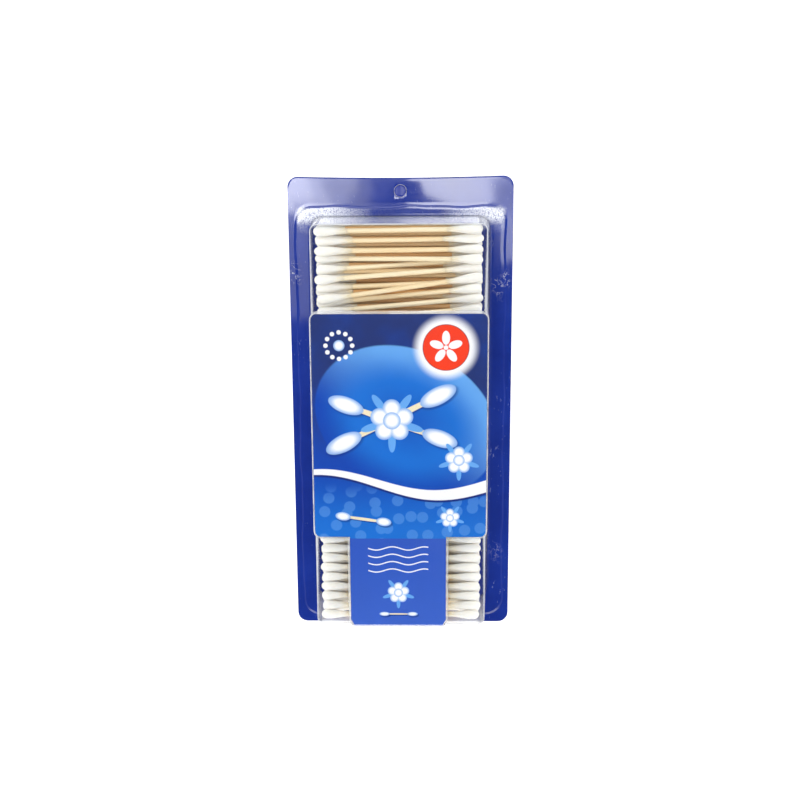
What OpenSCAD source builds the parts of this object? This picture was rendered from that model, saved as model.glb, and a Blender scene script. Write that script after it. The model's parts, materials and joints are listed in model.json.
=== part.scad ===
// Blister pack of double-tipped cotton swabs, lying on its back card.
// X runs across the pack, Y along it towards the hang hole, Z out of the card.
// The origin is under the middle of the card, on the face it rests on.

/* [Card] */
// Width of card at each side of the blister
side_border = 11.1; // [9:0.1:20]
// Height of card above the blister
top_border = 18.75; // [17:0.25:30]
// Height of card below the blister
bottom_border = 12.95; // [10:0.05:20]
// Radius of the card's corners
card_r = 5; // [2:0.5:12]
// How far the top edge bows inwards at its middle
top_sag = 0.9; // [0.2:0.1:2]
// Thickness of each of the two board plies
ply_t = 0.5; // [0.3:0.05:0.8]
// Distance from the card's side edges to the pressed step around the trapped flange
step_side = 3.7; // [2:0.1:6]
// Distance from the card's top edge to the pressed step
step_top = 14.5; // [10:0.5:16]
// Distance from the card's bottom edge to the pressed step
step_bottom = 4.4; // [2:0.2:8]
// Outer corner radius of the pressed step
step_r = 8; // [4:0.5:12]
// Diameter of the hang hole
hole_d = 6; // [5:0.5:8]
// Distance from the top edge to the hang hole's centre
hole_drop = 7; // [5:0.5:9]

/* [Blister] */
// Thickness of the clear film
film_t = 0.4; // [0.25:0.05:0.6]
// Free height above the middle of the front row, up to the front face
head_room = 5.63; // [5.6:0.01:8]
// How far the label section and the tongue stand above the other sections
raise = 2; // [1:0.25:4]
// Free space past each end of the swabs at the front face
end_play = 2; // [1.8:0.1:5]
// How far each side wall leans in over the blister's height
side_lean = 2.9; // [1:0.1:4]
// How much wider the label section is than the front face, at each side
label_step = 0.7; // [0.3:0.1:1]
// Free space below the middle of the lowest swab, at the card
low_play = 5.3; // [5:0.1:8]
// Free space above the middle of the highest swab, at the card
high_play = 6.94; // [6.6:0.02:10]
// How far the top and bottom walls lean in over the blister's height
end_lean = 2; // [1:0.25:2.25]
// Radius of the upright corners at the card
corner_base_r = 5; // [4:0.5:8]
// Radius of the upright corners at the front face
corner_face_r = 3.4; // [2:0.2:4]
// Radius rolled along the edge of the front face
edge_r = 0.9; // [0.5:0.1:2]

/* [Label] */
// Upper end of the raised label section, measured up from the card's middle
label_top = 51.9; // [48:0.5:54]
// Lower end of the raised label section, measured down from the card's middle
label_bottom = 53.3; // [50:0.5:56]
// Width of the tongue below the label section
tongue_w = 46; // [36:0.5:56]
// How far the tongue lies left of the pack's middle
tongue_left = 1.1; // [0:0.1:3]
// Thickness of the printed label card
label_t = 0.35; // [0.2:0.05:0.5]
// Radius of the label card's corners
label_r = 2.6; // [1:0.2:4]
// How far the tongue's end overhangs the bottom wall's front edge
tongue_over = 0.4; // [0:0.1:1.2]
// Length of the tongue's end that is folded back along the bottom wall
tongue_fold = 9; // [4:1:20]

/* [Swabs] */
// Overall length of a swab
swab_len = 75; // [72:0.5:75.5]
// Diameter of the wooden stick
stick_d = 2.2; // [1.8:0.1:2.4]
// Largest diameter of the cotton bud
bud_d = 4.52; // [4:0.02:4.54]
// Length of the cotton on each end
bud_len = 14.8; // [11:0.2:17]
// Swabs in each full row across the depth of the pack
row_count = 39; // [36:1:39]
// Spacing of the swabs along a row
row_pitch = 4.72; // [4.7:0.01:4.74]
// Spacing of the rows, from the card out
layer_pitch = 4.1; // [4.08:0.01:4.12]

/* [Hidden] */
SLIVER = 0.01;
LAYERS = 9;
RING_STEPS = 6;
EDGE_STEPS = 4;
// The film is sized by the swabs it holds, and the card by the film.
face_w = swab_len + 2 * end_play;
base_w = face_w + 2 * side_lean;
label_face_w = face_w + 2 * label_step;
blister_len = low_play + row_pitch * (row_count - 1) + high_play;
card_w = base_w + 2 * side_border;
card_h = blister_len + top_border + bottom_border;
card_top = card_h / 2;
card_bottom = -card_h / 2;
flange_z = ply_t;
plateau_z = ply_t + film_t;
card_t = plateau_z + ply_t;
blister_top = card_top - top_border;
blister_bottom = card_bottom + bottom_border;
chad_d = hole_d - 0.3;
chad_tilt = 3.4;
// Along a bud from its tip: the end of its dome, the end of its full belly,
// and the cotton beyond the stick's end.
bud_dome = 2.6;
bud_belly = 6.2;
bud_cap = 2.5;

// Rows: the odd ones from the card out start lower than the even ones, so that they nest.
odd_start = blister_bottom + low_play;
even_start = odd_start + 2.3;
last_place = odd_start + row_pitch * (row_count - 1);
first_layer_z = ply_t + bud_d / 2 + 0.11;
face_z = first_layer_z + layer_pitch * (LAYERS - 1) + head_room;
label_face_z = face_z + raise;
// The front layer is in order only below the top window, and the one behind it has three places empty there.
front_in_order = row_count - 9;
empty_places = [row_count - 8, row_count - 6, row_count - 4];
// Where along a swab its two bud centres are taken, from its middle
grip = swab_len / 2 - 6;
// The loose swabs of the top window are measured from here: down from near the top wall,
// and back from near the front face.
loose_top = last_place + 6.54;
loose_front = face_z - film_t - bud_d / 2 - 0.39;
// Loose swabs from the top down: left end down, right end down, left end back, right end back
LOOSE = [
    [5, 4.25, 0, 0],
    [9.5, 8.5, 1.75, 2],
    [13.75, 13.25, 0, 2],
    [17.25, 17.5, 3.5, 0],
    [22, 18.5, 2, 6],
    [26.25, 21.75, 0, 2],
    [30.25, 27.75, 2.5, 4.75],
    [35, 26, 0.25, 0],
    [37.25, 30.75, 5, 0.75],
    [40.75, 35.25, 2, 1.5],
    [45, 40, 0, 2],
];

function layer_z(k) = first_layer_z + layer_pitch * (k - 1);
function row_start(k) = k % 2 == 1 ? odd_start : even_start;
function is_in_order(k, i) =
    (k < LAYERS || i < front_in_order) && !(k == LAYERS - 1 && len(search(i, empty_places)) > 0);
// A small slip of each swab along its own length, so that the ends don't line up like a comb.
function slip(k, i) = 0.35 * sin(137 * i + 71 * k);

// A rectangle with four arcs for corners, counter-clockwise, as the ring of a loft at height z.
// Each corner has the same number of points in every ring, so that rings join one to one.
function ring(x0, x1, y0, y1, r, z) = [
    for (q = [0:3])
        let (cx = q == 0 || q == 3 ? x1 - r : x0 + r, cy = q < 2 ? y1 - r : y0 + r)
            for (s = [0:RING_STEPS])
                let (a = 90 * q + 90 * s / RING_STEPS)
                    [cx + r * cos(a), cy + r * sin(a), z]
];

// A closed solid through a stack of equal rings, lowest first.
module loft(rings) {
    n = len(rings[0]);
    top = len(rings) - 1;
    polyhedron(
        points = [for (one = rings) each one],
        faces = concat(
            [[for (i = [0:n - 1]) i]],
            [[for (i = [0:n - 1]) top * n + n - 1 - i]],
            [for (k = [0:top - 1], i = [0:n - 1])
                [k * n + i, (k + 1) * n + i, (k + 1) * n + (i + 1) % n, k * n + (i + 1) % n]]
        ),
        convexity = 4
    );
}

// One drafted tray section: base and face are [x0, x1, y0, y1], and inset moves every wall
// and the face inwards.
module tray(base, face, z0, z1, inset) {
    r0 = corner_base_r - inset;
    r1 = corner_face_r - inset;
    roll = edge_r - inset * 0.5;
    top = z1 - inset;
    function walls(b, d) = [b[0] + d, b[1] - d, b[2] + d, b[3] - d];
    function lift(b, r, z) = ring(b[0], b[1], b[2], b[3], r, z);
    b = walls(base, inset);
    f = walls(face, inset);
    loft(concat(
        [lift(b, r0, z0)],
        [for (s = [0:EDGE_STEPS])
            let (a = 90 * s / EDGE_STEPS, d = roll * (1 - cos(a)))
                lift(walls(f, d), max(r1 - d, 0.4), top - roll + roll * sin(a))]
    ));
}

module rounded_plate(w, y0, y1, r, t) {
    linear_extrude(t)
        hull()
            for (x = [-1, 1], y = [y0 + r, y1 - r])
                translate([x * (w / 2 - r), y])
                    circle(r, $fn = 48);
}

// The card's outline: rounded corners and a top edge that bows in a little at its middle.
module card_outline(t) {
    half = card_w / 2;
    bow_r = (half * half + top_sag * top_sag) / (2 * top_sag);
    difference() {
        union() {
            translate([-half + card_r, card_bottom, 0]) cube([card_w - 2 * card_r, card_h, t]);
            translate([-half, card_bottom + card_r, 0]) cube([card_w, card_h - 2 * card_r, t]);
            for (x = [-1, 1], y = [-1, 1])
                translate([x * (half - card_r), y * (card_top - card_r), 0])
                    cylinder(r = card_r, h = t, $fn = 96);
        }
        translate([0, card_top - top_sag + bow_r, -1]) cylinder(r = bow_r, h = t + 2, $fn = 2400);
        translate([0, card_top - hole_drop, -1]) cylinder(d = hole_d, h = t + 2, $fn = 64);
    }
}

module back_card() {
    color("royalblue") card_outline(ply_t);
}

// The pressed step that the trapped flange raises in the front ply, as a lofted rim.
module pressed_step(spread, z0, z1) {
    side = card_w / 2 - step_side;
    y0 = card_bottom + step_bottom;
    y1 = card_top - step_top;
    loft([
        ring(-side - spread, side + spread, y0 - spread, y1 + spread, step_r + spread, z0),
        ring(-side, side, y0, y1, step_r, z1),
    ]);
}

module front_card() {
    window_w = base_w + 0.6;
    color("midnightblue")
        difference() {
            union() {
                translate([0, 0, ply_t]) card_outline(ply_t);
                pressed_step(0.7, ply_t + 0.1, card_t);
            }
            translate([0, 0, ply_t - SLIVER]) flange(film_t + SLIVER);
            translate([0, 0, 0])
                rounded_plate(window_w, blister_bottom - 0.3, blister_top + 0.3, corner_base_r, card_t + 1);
        }
}

// The film's flat flange, trapped between the plies inside the pressed step.
module flange(t) {
    rounded_plate(card_w - 2 * step_side - 2.4, card_bottom + step_bottom + 1.2,
        card_top - step_top - 1.2, step_r - 1.2, t);
}

// The punched disc still sits in the hang hole, its top edge pushed back, held by two uncut nicks.
module hang_hole_chad() {
    color("lightsteelblue")
        translate([0, card_top - hole_drop, ply_t])
            intersection() {
                cylinder(d = hole_d, h = 4 * ply_t, center = true, $fn = 64);
                rotate([chad_tilt, 0, 0])
                    union() {
                        cylinder(d = chad_d, h = 1.6 * ply_t, center = true, $fn = 64);
                        cube([hole_d + 1, 0.5, 1.2 * ply_t], center = true);
                    }
            }
}

module blister_form(inset) {
    low = inset > 0 ? flange_z - 1 : flange_z;
    half = base_w / 2;
    face = face_w / 2;
    label_face = label_face_w / 2;
    tongue_0 = -tongue_left - tongue_w / 2;
    tongue_1 = -tongue_left + tongue_w / 2;
    // The two ordinary sections in one tray, with the label section and the tongue standing above it.
    tray([-half, half, blister_bottom, blister_top],
        [-face, face, blister_bottom + end_lean, blister_top - end_lean], low, face_z, inset);
    tray([-half, half, -label_bottom - 2, label_top + 2],
        [-label_face, label_face, -label_bottom, label_top], low, label_face_z, inset);
    tray([tongue_0 - 1, tongue_1 + 1, blister_bottom, 0],
        [tongue_0, tongue_1, blister_bottom + end_lean - tongue_over, 0], low, label_face_z, inset);
}

module blister_shell() {
    color("aliceblue", 0.35)
        difference() {
            union() {
                translate([0, 0, flange_z]) flange(film_t);
                blister_form(0);
            }
            blister_form(film_t);
        }
}

// One T-shaped printed card behind the raised film, its lower end folded back along the bottom wall.
module label_insert() {
    z = label_face_z - film_t - label_t;
    clear = film_t + edge_r;
    // The tongue's square corners keep further clear, because the film's corners are round.
    corner_clear = clear + 0.5;
    panel_w = label_face_w - 2 * clear;
    tongue_0 = -tongue_left - tongue_w / 2 + corner_clear;
    tongue_len_w = tongue_w - 2 * corner_clear;
    fold_y = blister_bottom + end_lean - tongue_over + corner_clear;
    color("dodgerblue") {
        translate([0, 0, z])
            rounded_plate(panel_w, -label_bottom + clear, label_top - clear, label_r, label_t);
        translate([tongue_0, fold_y, z])
            cube([tongue_len_w, -label_bottom + clear - fold_y, label_t]);
        translate([tongue_0, fold_y, z + label_t - tongue_fold])
            cube([tongue_len_w, label_t, tongue_fold]);
    }
}

// Radius of the cotton at distance t from the swab's tip: a blunt dome, a full belly and a long taper.
function bud_r(t) =
    let (full = bud_d / 2, neck = stick_d / 2 + 0.12)
        t < bud_dome ? full * sqrt(1 - pow(1 - t / bud_dome, 2.3))
        : t < bud_belly ? full
        : full + (neck - full) * (1 - cos(180 * (t - bud_belly) / (bud_len - bud_belly))) / 2;

// A bud with the blind hole that the stick's end fills, its tip at z = 0 and the stick below it.
module bud() {
    dome = [for (t = [0.12, 0.8]) [bud_r(t), -t + 0.12]];
    taper = [for (s = [0:3]) let (t = bud_belly + (bud_len - bud_belly) * s / 3) [bud_r(t), -t]];
    rotate_extrude($fn = 32)
        polygon(concat(
            [[0, 0]], dome, [[bud_d / 2, -bud_dome]], taper,
            [[stick_d / 2, -bud_len], [stick_d / 2, -bud_cap], [0, -bud_cap]]
        ));
}

module stick_of(k, i, loose = false) {
    place(k, i, loose)
        rotate([0, 90, 0]) cylinder(d = stick_d, h = swab_len - 2 * bud_cap, center = true, $fn = 24);
}

module bud_of(side, k, i, loose = false) {
    place(k, i, loose)
        rotate([0, 90 * side, 0]) translate([0, 0, swab_len / 2]) bud();
}

// Puts a swab, drawn along X, in its place: in a row, or between the two bud centres of a loose one.
module place(k, i, loose) {
    if (loose) {
        p = LOOSE[i];
        translate([slip(k, i), loose_top - (p[0] + p[1]) / 2, loose_front - (p[2] + p[3]) / 2])
            rotate([0, -atan2(p[2] - p[3], 2 * grip), atan2(p[0] - p[1], 2 * grip)])
                children();
    } else {
        translate([slip(k, i), row_start(k) + row_pitch * i, layer_z(k)]) children();
    }
}

module sticks(k) {
    color("burlywood") {
        for (i = [0:row_count - 1]) if (is_in_order(k, i)) stick_of(k, i);
        if (k == LAYERS) for (i = [0:len(LOOSE) - 1]) stick_of(k, i, true);
    }
}

// The buds at one end of a row: side is -1 at the left and 1 at the right.
module buds(side, k) {
    color("white") {
        for (i = [0:row_count - 1]) if (is_in_order(k, i)) bud_of(side, k, i);
        if (k == LAYERS) for (i = [0:len(LOOSE) - 1]) bud_of(side, k, i, true);
    }
}

back_card();
front_card();
hang_hole_chad();
blister_shell();
label_insert();
for (k = [1:LAYERS]) {
    sticks(k);
    buds(-1, k);
    buds(1, k);
}
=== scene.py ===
"""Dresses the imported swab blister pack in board, film, print, wood and cotton, in a plain studio."""

from __future__ import annotations

import json
import logging
import math
import random
from dataclasses import astuple, dataclass, field, replace
from enum import Enum
from typing import Callable, Iterable, Sequence

import bmesh
import bpy
import numpy as np
from mathutils import Matrix, Vector

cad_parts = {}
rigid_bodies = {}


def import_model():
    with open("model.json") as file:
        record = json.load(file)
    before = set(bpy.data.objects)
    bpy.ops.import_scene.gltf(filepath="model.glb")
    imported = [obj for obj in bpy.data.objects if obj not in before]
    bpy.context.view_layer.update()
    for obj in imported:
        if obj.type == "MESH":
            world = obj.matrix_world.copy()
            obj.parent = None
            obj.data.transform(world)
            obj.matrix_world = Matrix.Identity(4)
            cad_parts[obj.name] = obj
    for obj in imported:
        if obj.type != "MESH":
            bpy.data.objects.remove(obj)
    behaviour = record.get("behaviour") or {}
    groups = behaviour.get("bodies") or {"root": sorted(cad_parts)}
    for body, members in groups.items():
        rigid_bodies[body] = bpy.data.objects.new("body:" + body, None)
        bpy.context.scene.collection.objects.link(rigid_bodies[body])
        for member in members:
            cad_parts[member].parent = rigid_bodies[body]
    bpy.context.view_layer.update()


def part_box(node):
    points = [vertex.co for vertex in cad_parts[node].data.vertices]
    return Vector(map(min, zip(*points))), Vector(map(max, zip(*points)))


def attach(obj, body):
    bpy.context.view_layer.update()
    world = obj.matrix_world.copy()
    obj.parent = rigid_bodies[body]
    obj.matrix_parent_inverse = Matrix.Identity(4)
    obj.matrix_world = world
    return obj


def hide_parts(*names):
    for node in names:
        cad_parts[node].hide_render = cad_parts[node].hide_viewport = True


LOG = logging.getLogger("swab_pack")
MM = 0.001
PER_MM = 1000.0
# Two places closer than this, in millimetres, are the same.
TOUCH = 0.01
BODY = "root"
SEED = 350
# Where the cloudiness of a coat grain goes from clearest to cloudiest.
CLOUDED = (0.2, 0.8)
Piece = bpy.types.Object
Socket = bpy.types.NodeSocket
Colour = tuple[float, float, float, float]
Span = tuple[float, float]


class End(Enum):
    """The two ends of a swab, as seen from the front of the pack."""

    LEFT = -1
    RIGHT = 1


class Detail(Enum):
    """How finely a swab is modelled: sides round it, rings along its dome and rings along its taper."""

    SHOWN = (16, 4, 5)
    BURIED = (10, 3, 3)


class Part(Enum):
    """The parts of a mesh that can be selected."""

    CORNER = "VERT"
    EDGE = "EDGE"
    FACE = "FACE"


def paint(red: int, green: int, blue: int) -> Colour:
    """Gives a printed colour, written as 0 to 255, as the linear colour that a shader takes.

    Args:
        red: red as written on screen.
        green: green as written on screen.
        blue: blue as written on screen.

    Returns:
        The linear colour with full alpha.
    """

    def linear(value: int) -> float:
        """Undoes the screen's curve for one channel."""
        share = value / 255.0
        return share / 12.92 if share <= 0.04045 else ((share + 0.055) / 1.055) ** 2.4

    return (linear(red), linear(green), linear(blue), 1.0)


def clear_selection() -> None:
    """Deselects every object, so that an operator acts only on what comes next."""
    for each in bpy.context.selected_objects:
        each.select_set(False)


def pick(piece: Piece) -> None:
    """Makes one object the only selected and the active one.

    Args:
        piece: the object.
    """
    clear_selection()
    piece.select_set(True)
    bpy.context.view_layer.objects.active = piece


def mode(name: str) -> None:
    """Goes to object or edit mode."""
    bpy.ops.object.mode_set(mode=name)


def add(name: str, data: bpy.types.ID) -> Piece:
    """Adds an object to the scene.

    Args:
        name: its name.
        data: its mesh, lamp or camera.

    Returns:
        The object, not selected.
    """
    made = bpy.data.objects.new(name, data)
    bpy.context.scene.collection.objects.link(made)
    return made


def freeze_place(piece: Piece) -> None:
    """Moves an object's own place, turn and scale into its mesh.

    Args:
        piece: the object.
    """
    bpy.context.view_layer.update()
    piece.data.transform(piece.matrix_world)
    piece.matrix_world = Matrix.Identity(4)


def adopt(name: str) -> Piece:
    """Names the primitive that was just added and moves its place into its mesh.

    Args:
        name: the piece's name.

    Returns:
        The piece.
    """
    made = bpy.context.object
    made.name = made.data.name = name
    freeze_place(made)
    return made


def select_all() -> None:
    """Selects all of a mesh in edit mode."""
    bpy.ops.mesh.select_all(action="SELECT")


def select_where(piece: Piece, kind: Part, wanted: Callable[[object], bool]) -> None:
    """Selects only the parts of a mesh that a test accepts, in edit mode.

    Args:
        piece: the piece in edit mode.
        kind: what is selected.
        wanted: the test.
    """
    bpy.ops.mesh.select_mode(type=kind.value)
    bpy.ops.mesh.select_all(action="DESELECT")
    shape = bmesh.from_edit_mesh(piece.data)
    for part in {Part.CORNER: shape.verts, Part.EDGE: shape.edges, Part.FACE: shape.faces}[kind]:
        if wanted(part):
            part.select_set(True)
    shape.select_flush_mode()
    bmesh.update_edit_mesh(piece.data)


def resize(x: float, y: float, z: float, centre: Sequence[float]) -> None:
    """Scales what is selected about a place in metres."""
    bpy.ops.transform.resize(value=(x, y, z), center_override=centre)


def extrude(x: float, y: float, z: float) -> None:
    """Extrudes what is selected by a distance in millimetres."""
    bpy.ops.mesh.extrude_region_move(TRANSFORM_OT_translate={"value": (x * MM, y * MM, z * MM)})


def apply_modifiers(piece: Piece) -> None:
    """Applies all the modifiers of a piece in their order.

    Args:
        piece: the piece.
    """
    pick(piece)
    for modifier in list(piece.modifiers):
        bpy.ops.object.modifier_apply(modifier=modifier.name)


def round_edges(piece: Piece, width: float, segments: int, sharper: float) -> None:
    """Bevels a piece's sharp edges.

    Args:
        piece: the piece.
        width: the bevel's width in millimetres.
        segments: how many faces it has across.
        sharper: the angle in degrees from which an edge is bevelled.
    """
    bevel = piece.modifiers.new("rounded edges", "BEVEL")
    bevel.width = width * MM
    bevel.segments = segments
    bevel.limit_method = "ANGLE"
    bevel.angle_limit = math.radians(sharper)
    apply_modifiers(piece)


def thicken(piece: Piece, thickness: float) -> None:
    """Gives a sheet its thickness, downwards from its face.

    Args:
        piece: the sheet.
        thickness: its thickness in millimetres.
    """
    sheet = piece.modifiers.new("thickness", "SOLIDIFY")
    sheet.thickness = thickness * MM
    sheet.offset = -1.0
    apply_modifiers(piece)


def smooth(piece: Piece, angle: float) -> None:
    """Shades a piece smooth across edges flatter than an angle in degrees."""
    pick(piece)
    bpy.ops.object.shade_smooth_by_angle(angle=math.radians(angle))


def read(piece: Piece, what: str) -> np.ndarray:
    """Reads a vector of each of a mesh's vertices.

    Args:
        piece: the piece.
        what: the vertices' own word for it, co or normal.

    Returns:
        One row for each vertex.
    """
    flat = np.zeros(len(piece.data.vertices) * 3, np.float32)
    piece.data.vertices.foreach_get(what, flat)
    return flat.reshape(-1, 3).astype(np.float64)


def mark(piece: Piece, name: str, values: np.ndarray) -> None:
    """Keeps one number for each vertex of a mesh, for its finish to read."""
    kept = piece.data.attributes.new(name, "FLOAT", "POINT")
    kept.data.foreach_set("value", values.astype(np.float32))


def put_on(piece: Piece, finish: bpy.types.Material, slot: str, *nodes: str) -> None:
    """Dresses a finished piece, fastens it to the pack and hides the CAD nodes that it stands for.

    Args:
        piece: the finished piece.
        finish: its material.
        slot: the record's material slot; not used.
        *nodes: the CAD nodes that it replaces.
    """
    piece.data.materials.append(finish)
    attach(piece, BODY)
    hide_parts(*nodes)
    LOG.info("%s: %d faces, stands for %s", piece.name, len(piece.data.polygons), ", ".join(nodes))


class Graph:
    """Adds and joins the nodes of one shader or node group."""

    def __init__(self, tree: bpy.types.NodeTree) -> None:
        """Keeps the tree that the nodes go into."""
        self.tree = tree

    def node(self, kind: str, **settings: object) -> bpy.types.Node:
        """Adds a node.

        Args:
            kind: the node's type.
            **settings: its own properties.

        Returns:
            The node.
        """
        made = self.tree.nodes.new(kind)
        for name, value in settings.items():
            setattr(made, name, value)
        return made

    def feed(self, into: Socket, value: object) -> None:
        """Links a socket, or sets a plain value, on an input.

        Args:
            into: the input.
            value: the socket or the plain value.
        """
        if isinstance(value, bpy.types.NodeSocket):
            self.tree.links.new(value, into)
        else:
            into.default_value = value

    def fill(self, node: bpy.types.Node, **values: object) -> bpy.types.Node:
        """Feeds some of a node's inputs.

        Args:
            node: the node.
            **values: what each input gets, by its name with _ for a space.

        Returns:
            The node.
        """
        for name, value in values.items():
            self.feed(node.inputs[name.replace("_", " ")], value)
        return node

    def run(self, node: bpy.types.Node, *values: object) -> Socket:
        """Feeds a node's first inputs in their order.

        Args:
            node: the node.
            *values: what each input gets.

        Returns:
            The node's first output.
        """
        for into, value in zip(node.inputs, values):
            self.feed(into, value)
        return node.outputs[0]

    def math(self, operation: str, *values: object, clamp: bool = False) -> Socket:
        """Works out a number from up to three others."""
        return self.run(self.node("ShaderNodeMath", operation=operation, use_clamp=clamp), *values)

    def times(self, a: object, b: object, clamp: bool = False) -> Socket:
        """Multiplies two numbers."""
        return self.math("MULTIPLY", a, b, clamp=clamp)

    def plus(self, a: object, b: object) -> Socket:
        """Adds two numbers."""
        return self.math("ADD", a, b)

    def minus(self, a: object, b: object) -> Socket:
        """Takes the second number from the first."""
        return self.math("SUBTRACT", a, b)

    def spread(self, value: Socket, span: Span, onto: Span = (0.0, 1.0)) -> Socket:
        """Maps a range, which may run backwards, smoothly onto another one."""
        made = self.node("ShaderNodeMapRange", interpolation_type="SMOOTHSTEP")
        return self.run(made, value, *span, *onto)

    def over(self, mask: object, under: object, on_top: object) -> Socket:
        """Lays one colour over another.

        Args:
            mask: 1 where the upper colour shows.
            under: the lower colour.
            on_top: the upper colour.

        Returns:
            The mixed colour.
        """
        made = self.node("ShaderNodeMix", data_type="RGBA")
        for index, value in ((0, mask), (6, under), (7, on_top)):
            self.feed(made.inputs[index], value)
        return made.outputs[2]

    def noise(self, vector: Socket, scale: object, detail: float = 2.0, rough: float = 0.5) -> Socket:
        """Gives the value of a noise at a scale for each metre."""
        made = self.node("ShaderNodeTexNoise")
        return self.fill(made, Vector=vector, Scale=scale, Detail=detail, Roughness=rough).outputs["Fac"]

    def stretched(self, vector: Socket, x: float, y: float) -> Socket:
        """Scales a coordinate along X and Y."""
        return self.fill(self.node("ShaderNodeMapping"), Vector=vector, Scale=(x, y, 1.0)).outputs[0]

    def bump(self, height: Socket, strength: float, distance: float) -> Socket:
        """Turns a height into a normal."""
        made = self.node("ShaderNodeBump")
        return self.fill(made, Strength=strength, Distance=distance, Height=height).outputs[0]

    def group(self, name: str, **values: object) -> bpy.types.bpy_prop_collection:
        """Places a shared node group with its own values and gives its outputs."""
        made = self.node("ShaderNodeGroup", node_tree=bpy.data.node_groups[name])
        return self.fill(made, **values).outputs

    def attribute(self, name: str) -> Socket:
        """Gives a number that the mesh's vertices hold."""
        return self.node("ShaderNodeAttribute", attribute_name=name).outputs["Fac"]

    def here(self) -> Socket:
        """Gives the place on the piece, in metres."""
        return self.node("ShaderNodeTexCoord").outputs["Object"]

    def split(self, vector: Socket) -> tuple[Socket, ...]:
        """Gives the three parts of a vector.

        Args:
            vector: the vector.

        Returns:
            Its X, its Y and its Z.
        """
        made = self.node("ShaderNodeSeparateXYZ")
        self.run(made, vector)
        return tuple(made.outputs)

    def join(self, x: Socket, y: Socket) -> Socket:
        """Makes a flat vector of its two parts."""
        return self.run(self.node("ShaderNodeCombineXYZ"), x, y)


class SharedGroups:
    """The node groups that more than one finish uses, each built once."""

    def build(self) -> None:
        """Builds all the groups."""
        self.coat_grain()
        self.scuffs()

    @staticmethod
    def start(name: str, inputs: Sequence[str],
              outputs: Sequence[str]) -> tuple[Graph, dict[str, Socket], bpy.types.Node]:
        """Starts a group with a Vector input.

        Args:
            name: the group's name.
            inputs: names of its number inputs.
            outputs: names of its number outputs.

        Returns:
            The graph, what comes into the group by name, and its output node.
        """
        tree = bpy.data.node_groups.new(name, "ShaderNodeTree")
        tree.interface.new_socket("Vector", in_out="INPUT", socket_type="NodeSocketVector")
        for way, names in (("INPUT", inputs), ("OUTPUT", outputs)):
            for key in names:
                tree.interface.new_socket(key, in_out=way, socket_type="NodeSocketFloat")
        graph = Graph(tree)
        given = graph.node("NodeGroupInput").outputs
        return graph, {key: given[key] for key in ("Vector", *inputs)}, graph.node("NodeGroupOutput")

    def coat_grain(self) -> None:
        """Builds the fine orange peel and slow cloudiness of a coated or formed sheet."""
        graph, given, out = self.start("coat grain", ("Fine", "Cloud"), ("Height", "Cloudiness"))
        graph.fill(out, Height=graph.noise(given["Vector"], given["Fine"], 3.0, 0.6),
                   Cloudiness=graph.noise(given["Vector"], given["Cloud"], 4.0, 0.55))

    def scuffs(self) -> None:
        """Builds the sparse pale rubs and specks from handling, as a mask."""
        graph, given, out = self.start("handling scuffs", ("Scale", "Amount"), ("Mask",))
        long_way = graph.stretched(given["Vector"], 1.0, 0.35)
        speck = graph.spread(graph.noise(long_way, given["Scale"], 3.0, 0.6), (0.64, 0.7))
        patch = graph.spread(graph.noise(given["Vector"], 28.0), (0.5, 0.62))
        graph.fill(out, Mask=graph.times(graph.times(speck, patch), given["Amount"], clamp=True))


def new_material(name: str) -> tuple[bpy.types.Material, Graph, bpy.types.Node]:
    """Starts a node material.

    Args:
        name: the finish's name.

    Returns:
        The material, its graph and its Principled shader.
    """
    made = bpy.data.materials.new(name)
    made.use_nodes = True
    return made, Graph(made.node_tree), made.node_tree.nodes["Principled BSDF"]


@dataclass(frozen=True)
class CoatedBoard:
    """Blue coated board, glossy on its printed face, with an orange peel, and painted white glints, raised
    by bump, on the pressed plateau and along a few creases.
    """

    name: str
    colour: Colour
    deep: Colour
    scuff: Colour = paint(150, 164, 214)
    # Painted highlight: the white of the glints on the pressed plateau and along the creases.
    painted_glint: Colour = paint(242, 245, 252)
    roughness: Span = (0.09, 0.19)
    specular: float = 0.12
    coat: float = 1.0
    coat_roughness: float = 0.06
    coat_ior: float = 1.57
    scuff_scale: float = 900.0
    scuff_amount: float = 0.35
    peel_scale: float = 620.0
    peel: float = 0.2
    peel_depth: float = 0.00022
    cloud_scale: float = 34.0
    clouds: Span = (0.25, 0.75)
    spark_scale: float = 1500.0
    spark: Span = (0.3, 0.56)
    vein_scale: float = 420.0
    vein: Span = (0.035, 0.012)
    raised: float = 1.4

    def material(self) -> bpy.types.Material:
        """Builds the finish.

        Returns:
            The material.
        """
        made, graph, shader = new_material(self.name)
        at = graph.here()
        grain = graph.group("coat grain", Vector=at, Fine=self.peel_scale, Cloud=self.cloud_scale)
        scuffs = graph.group("handling scuffs", Vector=at, Scale=self.scuff_scale, Amount=self.scuff_amount)
        ink = graph.over(graph.spread(grain["Cloudiness"], self.clouds), self.deep, self.colour)
        ink = graph.over(scuffs["Mask"], ink, self.scuff)
        spark = graph.spread(graph.noise(at, self.spark_scale, 4.0, 0.75), self.spark)
        vein = graph.math("ABSOLUTE", graph.minus(graph.noise(at, self.vein_scale), 0.5))
        # Painted highlight: white specks and lines where the plateau and a few creases catch the light, also
        # raised by bump.
        pressed = graph.times(graph.attribute("plateau_glint"), spark, clamp=True)
        crease_glint_lines = graph.times(graph.attribute("crease_glint"), graph.spread(vein, self.vein), clamp=True)
        marks = graph.math("MAXIMUM", pressed, crease_glint_lines)
        height = graph.plus(grain["Height"], graph.times(marks, self.raised))
        graph.fill(shader, Base_Color=graph.over(marks, ink, self.painted_glint),
                   Roughness=graph.spread(grain["Cloudiness"], CLOUDED, self.roughness),
                   Specular_IOR_Level=self.specular, Coat_Weight=self.coat,
                   Coat_Roughness=self.coat_roughness, Coat_IOR=self.coat_ior,
                   Normal=graph.bump(height, self.peel, self.peel_depth))
        return made


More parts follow.
